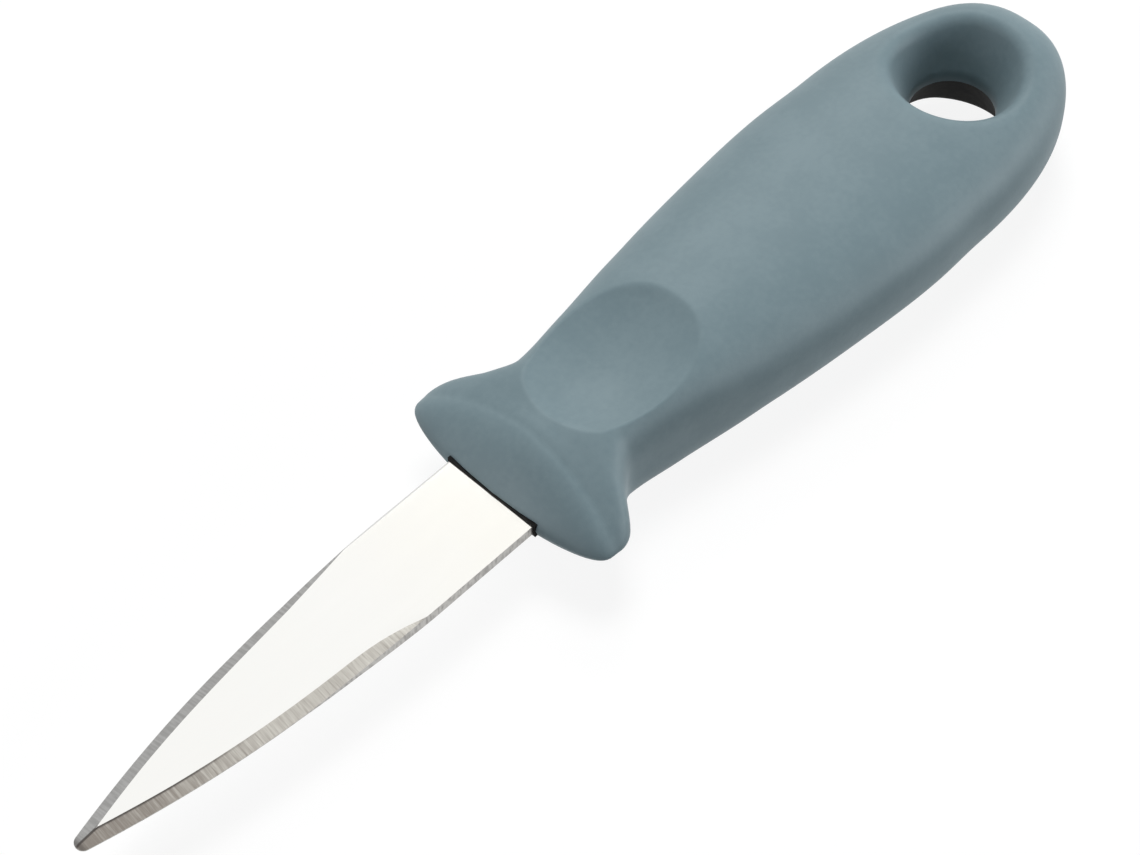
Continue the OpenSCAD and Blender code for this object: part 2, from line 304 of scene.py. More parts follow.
    def body_point(self, behind: float, angle: float) -> Vector:
        """Point of the outside behind the rim, at an angle round the section.

        Args:
            behind: Distance behind the guard's rim.
            angle: Angle from the far side, in radians.

        Returns:
            The point, before any hollow is pressed in.
        """
        power = 2 / self.squareness(behind)
        y = self.half_width(behind) * signed_power(math.cos(angle), power)
        z = self.half_thickness(behind) * signed_power(math.sin(angle), power)
        return Vector((self.rim_x + behind + self.lean(behind, y), y, self.mid_z + z))

    def dome_point(self, y: float, z: float) -> Vector:
        """Point of the guard's domed face, given its place across and above the middle.

        Args:
            y: Place across the knife.
            z: Height above the mid-plane.

        Returns:
            The point on the dome.
        """
        rim = self.guard_and_neck[0]
        sideways = abs(2 * y / rim.width) ** self.guard_squareness
        upwards = abs(2 * z / rim.thickness) ** self.guard_squareness
        share = clamp_share((sideways + upwards) ** (1 / self.guard_squareness))
        towards_lobe = sideways / (sideways + upwards) if share > 0 else 0.0
        fullness = self.crest_fullness + (self.lobe_fullness - self.crest_fullness) * towards_lobe**2
        behind = -self.dome_depth * (1 - share**fullness) ** (1 / fullness)
        return Vector((self.rim_x + behind + self.lean(behind, y), y, self.mid_z + z))

    def top_height(self, x: float, y: float) -> float:
        """Height of the upper face above the mid-plane, in the palm and the butt.

        Args:
            x: Place along the knife.
            y: Place across the knife.

        Returns:
            The height above the mid-plane.
        """
        behind = x - self.rim_x
        share = clamp_share(abs(y) / max(self.half_width(behind), NEAR))
        power = self.grip_squareness
        return self.half_thickness(behind) * (1 - share**power) ** (1 / power)


@dataclass(frozen=True)
class ThumbHollow:
    """Ball-shaped hollow in each face of the neck, with a soft rim."""

    centre_x: float
    ball_radius: float = 26.0
    floor: float = 5.3
    rim_softness: float = 0.14

    def press(self, point: Vector, mid_z: float) -> Vector:
        """Pushes a point of the upper face down to the hollow.

        Args:
            point: Point of the grip's outside, above the mid-plane.
            mid_z: Height of the mid-plane.

        Returns:
            The point with its height limited by the ball.
        """
        reach = (point.x - self.centre_x) ** 2 + point.y**2
        if reach >= self.ball_radius**2:
            return point
        ball = self.floor + self.ball_radius - math.sqrt(self.ball_radius**2 - reach)
        height = soft_minimum(point.z - mid_z, ball, self.rim_softness)
        return Vector((point.x, point.y, mid_z + height))


@dataclass(frozen=True)
class HangingHole:
    """Hole through the butt: a rounded rim, a funnel and a straight land at the waist, alike from both faces."""

    centre_x: float
    waist_radius: float = 5.7
    land_height: float = 0.6
    funnel_radius: float = 8.6
    funnel_height: float = 7.0
    outer_radius: float = 11.2
    eyelet_radius: float = 9.0
    rim_steps: int = 10
    funnel_steps: int = 8

    @property
    def flare(self) -> float:
        """Growth of the funnel's radius for each millimetre of height."""
        return (self.funnel_radius - self.waist_radius) / (self.funnel_height - self.land_height)

    def rim_guides(self, form: HandleForm, angle: float) -> tuple[Vector, Vector, Vector]:
        """Guide points of the rim's round as radius and height: on the face, at the corner, on the funnel.

        Args:
            form: Outside of the handle.
            angle: Angle round the hole's axis.

        Returns:
            The three guide points of the round's curve.
        """
        probe = 0.1

        def height(radius: float) -> float:
            """Height of the face at a distance from the hole's axis."""
            return form.top_height(self.centre_x + radius * math.cos(angle), radius * math.sin(angle))

        face = Vector((self.outer_radius, height(self.outer_radius)))
        fall = (height(self.outer_radius + probe) - height(self.outer_radius - probe)) / (2 * probe)
        base = self.waist_radius - self.flare * self.land_height
        corner_z = (face.y + fall * (base - self.outer_radius)) / (1 - fall * self.flare)
        corner = Vector((base + self.flare * corner_z, corner_z))
        foot = corner - Vector((self.flare, 1.0)).normalized() * (face - corner).length
        return face, corner, foot

    def rim_point(self, form: HandleForm, angle: float, share: float) -> Vector:
        """Radius and height at a share of the rim's round, from the face at 0 to the funnel at 1."""
        face, corner, foot = self.rim_guides(form, angle)
        return face * (1 - share) ** 2 + corner * 2 * share * (1 - share) + foot * share * share

    def funnel_point(self, form: HandleForm, angle: float, share: float) -> Vector:
        """Radius and height at a share of the funnel, from the rim at 0 to the land at 1."""
        return self.rim_guides(form, angle)[2].lerp(Vector((self.waist_radius, self.land_height)), share)

    def eyelet_point(self, form: HandleForm, angle: float, share: float) -> Vector:
        """Radius and height at a share of the rim's round, where 1 is at the core's eyelet.

        Args:
            form: Outside of the handle.
            angle: Angle round the hole's axis.
            share: Share of the way from the face to the eyelet.

        Returns:
            Radius and height of the place.
        """
        face, corner, foot = (guide.x for guide in self.rim_guides(form, angle))
        bend, run, rest = face - 2 * corner + foot, 2 * (face - corner), face - self.eyelet_radius
        return self.rim_point(form, angle, share * 2 * rest / (run + math.sqrt(run * run - 4 * bend * rest)))


@dataclass(frozen=True)
class BladeSlot:
    """Opening in the guard's face that the blade and the core's collar come out of."""

    width: float = 14.5
    height: float = 2.2
    squareness: float = 12.0
    lip_round: float = 0.2
    lip_rings: tuple[float, ...] = (1.5, 0.35)
    depth: float = 3.4

    def outline(self, angle: float, grow: float) -> tuple[float, float]:
        """Place across and above the middle of the slot's outline, grown by a margin.

        Args:
            angle: Angle from the far side, in radians.
            grow: Margin outside the slot.

        Returns:
            Place across the knife and height above the mid-plane.
        """
        power = 2 / self.squareness
        y = (self.width / 2 + grow) * signed_power(math.cos(angle), power)
        z = (self.height / 2 + grow) * signed_power(math.sin(angle), power)
        return y, z


def select_loop(mesh: BMesh, keep: Callable[[Vector], bool]) -> list[BMEdge]:
    """Boundary edges of a mesh whose two ends both pass a test."""
    return [e for e in mesh.edges if e.is_boundary and all(keep(v.co) for v in e.verts)]


def extrude_loop(mesh: BMesh, loop: Iterable[BMEdge], place: Place) -> list[BMEdge]:
    """Extrudes a loop of boundary edges once and moves its new vertices.

    Args:
        mesh: Mesh that holds the loop.
        loop: Edges of the loop.
        place: Gives the new place of a vertex from its old one.

    Returns:
        The edges of the new loop.
    """
    made = bmesh.ops.extrude_edge_only(mesh, edges=list(loop))["geom"]
    fresh = {item for item in made if isinstance(item, BMVert)}
    for vertex in fresh:
        vertex.co = place(vertex.co.copy())
    return [item for item in made if isinstance(item, BMEdge) and all(v in fresh for v in item.verts)]


def finish_mesh(mesh: BMesh, name: str, sharp_angle: float) -> bpy.types.Object:
    """Turns a mesh in millimetres into a smooth-shaded object in metres.

    Args:
        mesh: Finished mesh, which is freed.
        name: Name of the new object.
        sharp_angle: Angle between faces, in degrees, from which an edge is drawn sharp.

    Returns:
        The object, at the origin.
    """
    bmesh.ops.recalc_face_normals(mesh, faces=mesh.faces)
    limit = math.radians(sharp_angle)
    for face in mesh.faces:
        face.smooth = True
    for edge in mesh.edges:
        edge.smooth = len(edge.link_faces) == 2 and edge.calc_face_angle() < limit
    bmesh.ops.scale(mesh, vec=(MM, MM, MM), verts=mesh.verts)
    data = bpy.data.meshes.new(name)
    mesh.to_mesh(data)
    mesh.free()
    piece = bpy.data.objects.new(name, data)
    bpy.context.scene.collection.objects.link(piece)
    return piece


def mirror_below(mesh: BMesh, mid_z: float) -> None:
    """Adds the mirror image of an upper half below its mid-plane and merges the seam.

    Args:
        mesh: Upper half of a piece, open along the mid-plane.
        mid_z: Height of the mid-plane.
    """
    geometry = [*mesh.verts, *mesh.edges, *mesh.faces]
    bmesh.ops.mirror(mesh, geom=geometry, matrix=Matrix.Translation((0, 0, -mid_z)), merge_dist=0.0, axis="Z")
    seam = [v for v in mesh.verts if abs(v.co.z - mid_z) < NEAR]
    bmesh.ops.remove_doubles(mesh, verts=seam, dist=NEAR / 2)


def report(piece: bpy.types.Object) -> None:
    """Logs how many faces a piece has, and how many of its edges don't join exactly two of them.

    Args:
        piece: Finished piece.
    """
    mesh = bmesh.new()
    mesh.from_mesh(piece.data)
    loose = sum(1 for edge in mesh.edges if len(edge.link_faces) != 2)
    LOG.info("%s: %d faces, open edges %d", piece.name, len(mesh.faces), loose)
    mesh.free()


class Value:
    """Output of a shader node that holds a number. Python's operators on it add Math nodes."""

    def __init__(self, graph: "Graph", socket: bpy.types.NodeSocket) -> None:
        """Keeps the graph and the socket."""
        self.graph = graph
        self.socket = socket

    def _math(self, operation: str, *operands: "Value | float") -> "Value":
        """Adds a Math node that works on the operands in their order."""
        node = self.graph.node("ShaderNodeMath", {"operation": operation}, dict(enumerate(operands)))
        return Value(self.graph, node.outputs[0])

    def __add__(self, other: "Value | float") -> "Value":
        """Sum."""
        return self._math("ADD", self, other)

    __radd__ = __add__

    def __sub__(self, other: "Value | float") -> "Value":
        """Difference."""
        return self._math("SUBTRACT", self, other)

    def __rsub__(self, other: float) -> "Value":
        """Difference from a number."""
        return self._math("SUBTRACT", other, self)

    def __mul__(self, other: "Value | float") -> "Value":
        """Product."""
        return self._math("MULTIPLY", self, other)

    __rmul__ = __mul__

    def either(self, other: "Value") -> "Value":
        """Greater of two values."""
        return self._math("MAXIMUM", self, other)

    def step(self, start: float, stop: float) -> "Value":
        """Smooth rise from 0 at start to 1 at stop, or the reverse where start is the larger.

        Args:
            start: Value at which the result is 0.
            stop: Value at which the result is 1.

        Returns:
            The eased share.
        """
        low, high = min(start, stop), max(start, stop)
        ends = (0.0, 1.0) if start < stop else (1.0, 0.0)
        node = self.graph.node(
            "ShaderNodeMapRange",
            {"interpolation_type": "SMOOTHSTEP"},
            {"Value": self, "From Min": low, "From Max": high, "To Min": ends[0], "To Max": ends[1]},
        )
        return Value(self.graph, node.outputs["Result"])


class Graph:
    """Node tree of a material or of the world."""

    def __init__(self, owner: bpy.types.Material | bpy.types.World) -> None:
        """Empties a node tree and keeps it.

        Args:
            owner: Material or world that has the tree.
        """
        owner.use_nodes = True
        self.tree = owner.node_tree
        self.tree.nodes.clear()

    def feed(self, node: bpy.types.Node, inputs: Mapping[Any, Any]) -> None:
        """Sets or links inputs of a node.

        Args:
            node: Node of this tree.
            inputs: Numbers, colours, vectors, values or sockets, by the input's name or index.
        """
        for key, given in inputs.items():
            source = given.socket if isinstance(given, Value) else given
            if isinstance(source, bpy.types.NodeSocket):
                self.tree.links.new(source, node.inputs[key])
            else:
                node.inputs[key].default_value = source

    def node(self, kind: str, settings: Mapping[str, Any], inputs: Mapping[Any, Any]) -> bpy.types.Node:
        """Adds a node.

        Args:
            kind: Type name of the node.
            settings: Attributes of the node, which are set first.
            inputs: Inputs that are fed, as for feed.

        Returns:
            The new node.
        """
        node = self.tree.nodes.new(kind)
        for name, setting in settings.items():
            setattr(node, name, setting)
        self.feed(node, inputs)
        return node

    def seen(self) -> Value:
        """Factor that is 1 for rays from the camera, from gloss and through glass.

        Returns:
            The factor, which is 0 for the rays that light the knife.
        """
        path = self.node("ShaderNodeLightPath", {}, {})
        camera, glossy, through = (
            Value(self, path.outputs[f"Is {kind} Ray"]) for kind in ("Camera", "Glossy", "Transmission")
        )
        return camera.either(glossy).either(through)


class PieceGraph(Graph):
    """Node tree of one piece's material, built round a Principled shader."""

    def __init__(self, name: str) -> None:
        """Makes the material with its shader and output.

        Args:
            name: Name of the material.
        """
        self.material = bpy.data.materials.new(name)
        super().__init__(self.material)
        self.shader = self.node("ShaderNodeBsdfPrincipled", {}, {})
        self.node("ShaderNodeOutputMaterial", {}, {"Surface": self.shader.outputs[0]})

    def place(self, stretch: Triple = (1, 1, 1), turn: float = 0.0) -> bpy.types.NodeSocket:
        """Object coordinates in millimetres, turned about Z and then stretched.

        Args:
            stretch: Factor along each axis.
            turn: Turn about Z, in radians.

        Returns:
            The vector's socket.
        """
        coordinates = self.node("ShaderNodeTexCoord", {}, {})
        scale = tuple(part / MM for part in stretch)
        inputs = {"Vector": coordinates.outputs["Object"], "Rotation": (0, 0, turn), "Scale": scale}
        return self.node("ShaderNodeMapping", {"vector_type": "POINT"}, inputs).outputs[0]

    def axis(self, name: str) -> Value:
        """One object coordinate in millimetres."""
        split = self.node("ShaderNodeSeparateXYZ", {}, {"Vector": self.place()})
        return Value(self, split.outputs[name])

    def noise(self, scale: float, detail: float, where: bpy.types.NodeSocket) -> Value:
        """Noise from 0 to 1 with a scale for each millimetre."""
        node = self.node("ShaderNodeTexNoise", {}, {"Vector": where, "Scale": scale, "Detail": detail})
        return Value(self, node.outputs["Fac"])

    def specks(self, scale: float, size: float, where: bpy.types.NodeSocket) -> Value:
        """Mask of small round specks, one in each cell, of random size up to the given one.

        Args:
            scale: Cells for each millimetre.
            size: Radius of a speck, as a share of a cell.
            where: Socket of the place.

        Returns:
            The mask, which is 1 on a speck.
        """
        node = self.node("ShaderNodeTexVoronoi", {}, {"Vector": where, "Scale": scale})
        pick = self.node("ShaderNodeSeparateColor", {}, {"Color": node.outputs["Color"]})
        chance = Value(self, pick.outputs[0]).step(0.86, 1.0)
        return Value(self, node.outputs["Distance"]).step(size, size * 0.6) * chance

    def colours(self, factor: Value, first: Paint, second: Paint) -> bpy.types.NodeSocket:
        """Mix of two colours by a factor, where either may be a socket.

        Args:
            factor: Share of the second colour.
            first: Colour or socket.
            second: Colour or socket.

        Returns:
            The mixed colour's socket.
        """
        parts = [given if isinstance(given, bpy.types.NodeSocket) else (*given, 1.0) for given in (first, second)]
        node = self.node("ShaderNodeMix", {"data_type": "RGBA"}, {0: factor, 6: parts[0], 7: parts[1]})
        return node.outputs[2]

    def bump(self, height: Value, distance: float, strength: float) -> bpy.types.NodeSocket:
        """Normal that stands for relief of the given depth in millimetres."""
        inputs = {"Height": height, "Distance": distance * MM, "Strength": strength}
        return self.node("ShaderNodeBump", {}, inputs).outputs[0]

    def dress(self, inputs: Mapping[str, Any]) -> bpy.types.Material:
        """Feeds the shader and returns the finished material."""
        self.feed(self.shader, inputs)
        return self.material


@dataclass(frozen=True)
class SoftGripFinish:
    """Matte blue-grey elastomer with a fine moulded grain."""

    colour: Colour = (0.212, 0.287, 0.315)
    shade: Colour = (0.188, 0.260, 0.287)
    dust: Colour = (0.38, 0.44, 0.45)
    roughness: float = 0.50
    gloss: float = 0.35
    sheen: float = 0.06
    grain_depth: float = 0.02

    def material(self) -> bpy.types.Material:
        """Builds the material.

        Returns:
            The material.
        """
        graph = PieceGraph("soft_grip")
        where = graph.place()
        cloud = graph.noise(0.16, 3, where)
        mottle = graph.noise(1.1, 4, where)
        grain = graph.noise(6.5, 3, where)
        dust = graph.specks(0.22, 0.045, where)
        base = graph.colours((cloud * 0.6 + mottle * 0.4).step(0.35, 0.65), self.shade, self.colour)
        rough = self.roughness + (mottle - 0.5) * 0.10 + (grain - 0.5) * 0.12
        relief = grain * 0.8 + mottle * 1.6
        return graph.dress(
            {
                "Base Color": graph.colours(dust * 0.55, base, self.dust),
                "Roughness": rough,
                "Specular IOR Level": self.gloss,
                "Sheen Weight": self.sheen,
                "Sheen Roughness": 0.5,
                "Normal": graph.bump(relief, self.grain_depth, 0.5),
            }
        )


@dataclass(frozen=True)
class CorePlasticFinish:
    """Hard black moulded plastic."""

    colour: Colour = (0.012, 0.012, 0.012)
    worn: Colour = (0.022, 0.021, 0.020)
    roughness: float = 0.75
    gloss: float = 0.08

    def material(self) -> bpy.types.Material:
        """Builds the material.

        Returns:
            The material.
        """
        graph = PieceGraph("core_plastic")
        where = graph.place()
        cloud = graph.noise(0.7, 3, where)
        grain = graph.noise(5.0, 2, where)
        return graph.dress(
            {
                "Base Color": graph.colours(cloud.step(0.35, 0.7), self.colour, self.worn),
                "Roughness": self.roughness + (grain - 0.5) * 0.14,
                "Specular IOR Level": self.gloss,
                "Normal": graph.bump(grain, 0.01, 0.4),
            }
        )


@dataclass(frozen=True)
class PolishedSteelFinish:
    """Bright rolled face of the blade, with faint lengthwise polishing lines, a painted warm reflection towards
    the guard and a painted shade line along the far edge.

    A span runs from where its mask is 0 to where it is 1. Spans along the blade are distances from the tip.
    """

    tip_x: float
    colour: Colour = (0.93, 0.925, 0.90)
    # Painted reflection: the flat's warmer tone towards the guard
    warm_reflection: Colour = (0.92, 0.90, 0.84)
    # Painted shade in a thin line along the flat's far edge
    edge: Colour = (0.62, 0.62, 0.61)
    roughness: float = 0.12
    warm_reflection_span: Span = (37.5, 62.5)
    edge_shade_span: Span = (42.5, 44.5)
    edge_shade_across: Span = (6.68, 6.80)

    def material(self) -> bpy.types.Material:
        """Builds the material.

        Returns:
            The material.
        """
        graph = PieceGraph("polished_steel")
        lines = graph.noise(1.0, 4, graph.place((0.05, 7.0, 0.05)))
        cloud = graph.noise(0.12, 2, graph.place())
        from_tip = graph.axis("X") - self.tip_x
        # Painted reflection: the flat turns warmer towards the guard, in clouds
        warm_reflection_mask = from_tip.step(*self.warm_reflection_span) * (cloud * 0.6 + 0.4)
        # Painted shade along the far edge of the flat, beyond the far bevel
        edge_shade_mask = graph.axis("Y").step(*self.edge_shade_across) * from_tip.step(*self.edge_shade_span)
        base = graph.colours(warm_reflection_mask, self.colour, self.warm_reflection)
        return graph.dress(
            {
                "Base Color": graph.colours(edge_shade_mask, base, self.edge),
                "Metallic": 1.0,
                "Roughness": self.roughness + (lines - 0.5) * 0.10,
                "Normal": graph.bump(lines, 0.002, 0.35),
            }
        )


@dataclass(frozen=True)
class GroundSteelFinish:
    """Ground bevels of the blade: grinding marks across the near one, a plainer far one, and painted shade.

    A span runs from where its mask is 0 to where it is 1. Spans along the blade are distances from the tip.
    The near bevel is painted darker towards the tip and lighter away from it, and the far bevel is given
    duller greys, as painted reflections. Painted shade lies along the near bevel's inner line, along the
    ridge where the bevels meet ahead of the flat, at the very point and where the near bevel runs out.
    """

    tip_x: float
    dark: Colour = (0.27, 0.242, 0.215)
    light: Colour = (0.62, 0.60, 0.55)
    far_dark: Colour = (0.31, 0.307, 0.30)
    far_light: Colour = (0.41, 0.407, 0.40)
    # Painted shade, laid on the bevels at the inner line, the ridge, the point and the heel
    painted_shade: Colour = (0.07, 0.062, 0.058)
    roughness: float = 0.36
    marks_turn: float = 6.0
    # Span of the painted reflection that lightens the near bevel away from the tip
    painted_reflection_span: Span = (-1.5, 28.5)
    # Spans of the painted shade: along the near bevel's inner line, along the ridge, at the point and at the heel
    crease_shade_span: Span = (24.5, 12.5)
    crease_shade_across: Span = (0.20, 0.06)
    ridge_span: Span = (3.6, 3.1)
    ridge_across: Span = (0.2, 0.063)
    ridge_y: float = -0.28
    point_shade_span: Span = (1.3, 0.2)
    heel_shade_span: Span = (44.9, 45.9)

    def material(self) -> bpy.types.Material:
        """Builds the material.

        Returns:
            The material.
        """
        graph = PieceGraph("ground_steel")
        turn = math.radians(self.marks_turn)
        marks = graph.noise(1.0, 3, graph.place((3.2, 0.22, 0.22), turn))
        fine = graph.noise(1.0, 2, graph.place((11.0, 0.5, 0.5), turn))
        across = graph.node("ShaderNodeUVMap", {"uv_map": ACROSS}, {})
        outward = Value(graph, graph.node("ShaderNodeSeparateXYZ", {}, {"Vector": across.outputs[0]}).outputs["Y"])
        from_tip = graph.axis("X") - self.tip_x
        from_ridge = graph.axis("Y") - self.ridge_y
        is_near, is_far = from_ridge.step(0.3, -0.3), from_ridge.step(-0.1, 0.1)
        # Painted reflection: the near bevel lighter away from the tip; the noise gives its real grinding marks
        tone = from_tip.step(*self.painted_reflection_span) * 0.66 + (marks - 0.5) * 1.1 + (fine - 0.5) * 0.9 + 0.05
        near = graph.colours(tone.step(-0.1, 1.1), self.dark, self.light)
        # The far bevel's duller greys are painted reflection; the noise gives its grinding marks
        far = graph.colours(marks.step(0.3, 0.7), self.far_dark, self.far_light)
        # Painted shade along the near bevel's inner line, strongest towards the tip
        crease_shade = outward.step(*self.crease_shade_across) * from_tip.step(*self.crease_shade_span) * is_near
        # Painted shade along the ridge where the two bevels meet near the tip
        ridge = (from_ridge * from_ridge).step(*(y * y for y in self.ridge_across)) * from_tip.step(*self.ridge_span)
        # Painted shade at the very point, and on the near bevel from where it runs out
        point = from_tip.step(*self.point_shade_span)
        heel = from_tip.step(*self.heel_shade_span) * is_near
        base = graph.colours(is_far, near, far)
        # Lays the painted shade over the bevels: inner line, ridge, point and heel
        for mask in (crease_shade * 0.85, ridge * 0.85, point * 0.6, heel * 0.35):
            base = graph.colours(mask, base, self.painted_shade)
        return graph.dress(
            {
                "Base Color": base,
                "Metallic": 1.0,
                "Roughness": self.roughness + (marks - 0.5) * 0.16,
                "Normal": graph.bump(marks * 0.7 + fine * 0.3, 0.012, 0.6),
            }
        )


@dataclass(frozen=True)
class StampedSteelFinish:
    """Stamped side of the sheet, duller than its faces."""

    colour: Colour = (0.48, 0.47, 0.45)
    dark: Colour = (0.28, 0.27, 0.26)
    roughness: float = 0.38

    def material(self) -> bpy.types.Material:
        """Builds the material.

        Returns:
            The material.
        """
        graph = PieceGraph("stamped_steel")
        tears = graph.noise(1.0, 3, graph.place((2.4, 0.4, 0.7)))
        return graph.dress(
            {
                "Base Color": graph.colours(tears.step(0.4, 0.75), self.colour, self.dark),
                "Metallic": 1.0,
                "Roughness": self.roughness + (tears - 0.5) * 0.2,
                "Normal": graph.bump(tears, 0.01, 0.5),
            }
        )


@dataclass
class Grip:
    """Soft grip: the outer skin with its slot, hollows and hole."""

    form: HandleForm
    hollow: ThumbHollow
    hole: HangingHole
    slot: BladeSlot
    columns: int = 96
    dome_rows: int = 18
    guard_rows: int = 74
    palm_rows: int = 136
    palm_start: float = 29.0
    hole_margin: float = 1.6
    hole_columns: int = 56
    blend_steps: int = 5
    rim_crowding: float = 1.7
    butt_crowding: float = 1.55
    sharp_angle: float = 40.0
    finish: SoftGripFinish = SoftGripFinish()

    def floor_point(self, angle: float) -> Vector:
        """Point at an angle round the slot's floor."""
        y, z = self.slot.outline(angle, 0.0)
        return Vector((self.form.face_x + self.slot.depth, y, self.form.mid_z + z))

    def lip_point(self, depth: float, angle: float) -> Vector:
        """Point at an angle round the slot, at a depth behind the face."""
        y, z = self.slot.outline(angle, 0.0)
        return self.form.dome_point(y, z) + Vector((depth, 0, 0))

    def face_point(self, share: float, angle: float) -> Vector:
        """Point on the dome.

        Args:
            share: Share of the way from the slot's lip to the guard's rim.
            angle: Angle from the far side, in radians.

        Returns:
            The point.
        """
        rim = self.form.guard_and_neck[0]
        power = 2 / self.form.guard_squareness
        inner_y, inner_z = self.slot.outline(angle, self.slot.lip_round)
        outer_y = rim.width / 2 * signed_power(math.cos(angle), power)
        outer_z = rim.thickness / 2 * signed_power(math.sin(angle), power)
        return self.form.dome_point(inner_y + (outer_y - inner_y) * share, inner_z + (outer_z - inner_z) * share)

    def body_point(self, behind: float, angle: float) -> Vector:
        """Point at an angle round the section behind the rim, with the hollow pressed in."""
        return self.hollow.press(self.form.body_point(behind, angle), self.form.mid_z)

    def rows(self) -> list[Curve]:
        """One function of the angle round the section for each row, from inside the slot to the butt.

        Returns:
            The functions, in order along the knife.
        """
        form, slot = self.form, self.slot
        lip = [partial(self.lip_point, slot.lip_round * ring) for ring in slot.lip_rings]
        shares = [1 - (1 - k) ** self.rim_crowding for k in steps(0, 1, self.dome_rows)]
        face = [partial(self.face_point, share) for share in shares]
        rest = form.length - self.palm_start
        palm = [form.length - rest * (1 - k) ** self.butt_crowding for k in steps(0, 1, self.palm_rows)]
        behinds = steps(0, self.palm_start, self.guard_rows)[1:] + palm[1:]
        return [self.floor_point, *lip, *face, *(partial(self.body_point, behind) for behind in behinds)]

    def upper_skin(self) -> BMesh:
        """Upper half of the skin as a grid laid over the form, without the hole.

        Returns:
            The mesh, in millimetres.
        """
        rows = self.rows()
        mesh = bmesh.new()
        bmesh.ops.create_grid(mesh, x_segments=len(rows) - 1, y_segments=self.columns, size=HALF_UNIT)
        for vertex in mesh.verts:
            row = round((vertex.co.x + HALF_UNIT) * (len(rows) - 1))
            vertex.co = rows[row](math.pi * (HALF_UNIT - vertex.co.y))
        bmesh.ops.remove_doubles(mesh, verts=mesh.verts, dist=NEAR / 2)
        return mesh

    def open_hole(self, mesh: BMesh) -> list[BMEdge]:
        """Removes the faces over the hole and returns the loop round the opening.

        Args:
            mesh: Upper half of the skin.

        Returns:
            The edges of the opening.
        """
        hole, form = self.hole, self.form
        reach = hole.outer_radius + self.hole_margin
        half_angle = math.pi * self.hole_columns / (2 * self.columns)
        share = math.sin(half_angle) ** (2 / form.grip_squareness)

        def inside(co: Vector) -> bool:
            """Tells whether a place is within the block that the hole takes out of the grid."""
            width = form.half_width(co.x - form.rim_x)
            return abs(co.x - hole.centre_x) < reach and abs(co.y) < width * share + NEAR

        covered = [f for f in mesh.faces if all(inside(v.co) for v in f.verts)]
        doomed = [f for f in covered if f.calc_center_median().z > form.mid_z]
        before = {e for e in mesh.edges if e.is_boundary}
        bmesh.ops.delete(mesh, geom=doomed, context="FACES")
        return [e for e in mesh.edges if e.is_boundary and e not in before]

    def closer_point(self, share: float, co: Vector) -> Vector:
        """New place on the upper face of a vertex that moves in towards the hole.

        Args:
            share: Share of the way, where 1 is on the rim's outer radius.
            co: Old place of the vertex.

        Returns:
            The new place.
        """
        away = Vector((co.x - self.hole.centre_x, co.y))
        away *= 1 + (self.hole.outer_radius / away.length - 1) * share
        x = self.hole.centre_x + away.x
        return Vector((x, away.y, self.form.mid_z + self.form.top_height(x, away.y)))

    def ring_point(self, curve: Curve, side: int, co: Vector) -> Vector:
        """New place of a vertex round the hole's axis, at its old angle.

        Args:
            curve: Gives the radius and the height above the mid-plane from the angle.
            side: 1 above the mid-plane, -1 below it.
            co: Old place of the vertex.

        Returns:
            The new place.
        """
        angle = math.atan2(co.y, co.x - self.hole.centre_x)
        radius, height = curve(angle)
        x = self.hole.centre_x + radius * math.cos(angle)
        return Vector((x, radius * math.sin(angle), self.form.mid_z + side * height))

    def extrude_rings(self, mesh: BMesh, loop: list[BMEdge], curves: Iterable[Curve], side: int) -> list[BMEdge]:
        """Extrudes a loop along the hole's wall, once for each curve.

        Args:
            mesh: Skin with its opening.
            loop: Edges to start from.
            curves: Each gives the radius and the height above the mid-plane from the angle.
            side: 1 above the mid-plane, -1 below it.

        Returns:
            The edges of the wall's end.
        """
        for curve in curves:
            loop = extrude_loop(mesh, loop, partial(self.ring_point, curve, side))
        return loop

    def ledge_curve(self, radius: float) -> Curve:
        """Circle of a radius at the land's lower end, where the soft wall rests on the core's eyelet."""
        return lambda _: Vector((radius, -self.hole.land_height))

    def upper_wall(self, mesh: BMesh, loop: list[BMEdge]) -> list[BMEdge]:
        """Extrudes the soft wall above the eyelet: rim, funnel, land and ledge.

        Args:
            mesh: Skin with its opening.
            loop: Edges of the opening on this face.

        Returns:
            The edges of the wall's end.
        """
        hole = self.hole
        curves = [partial(hole.rim_point, self.form, share=share) for share in steps(0, 1, hole.rim_steps)[1:]]
        curves += [partial(hole.funnel_point, self.form, share=share) for share in steps(0, 1, hole.funnel_steps)[1:]]
        curves += [self.ledge_curve(hole.waist_radius), self.ledge_curve(hole.eyelet_radius)]
        return self.extrude_rings(mesh, loop, curves, 1)

    def lower_wall(self, mesh: BMesh, loop: list[BMEdge]) -> list[BMEdge]:
        """Extrudes the soft wall below the eyelet: rim, and the way up outside the eyelet.

        Args:
            mesh: Skin with its opening.
            loop: Edges of the opening on this face.

        Returns:
            The edges of the wall's end.
        """
        hole = self.hole
        # The wall ends on the eyelet's radius, so the core's black eyelet is bare in the lower half of the hole and
        # darkens it
        curves = [partial(hole.eyelet_point, self.form, share=share) for share in steps(0, 1, hole.rim_steps)[1:]]
        loop = self.extrude_rings(mesh, loop, curves, -1)
        return self.extrude_rings(mesh, loop, [self.ledge_curve(hole.eyelet_radius)], 1)

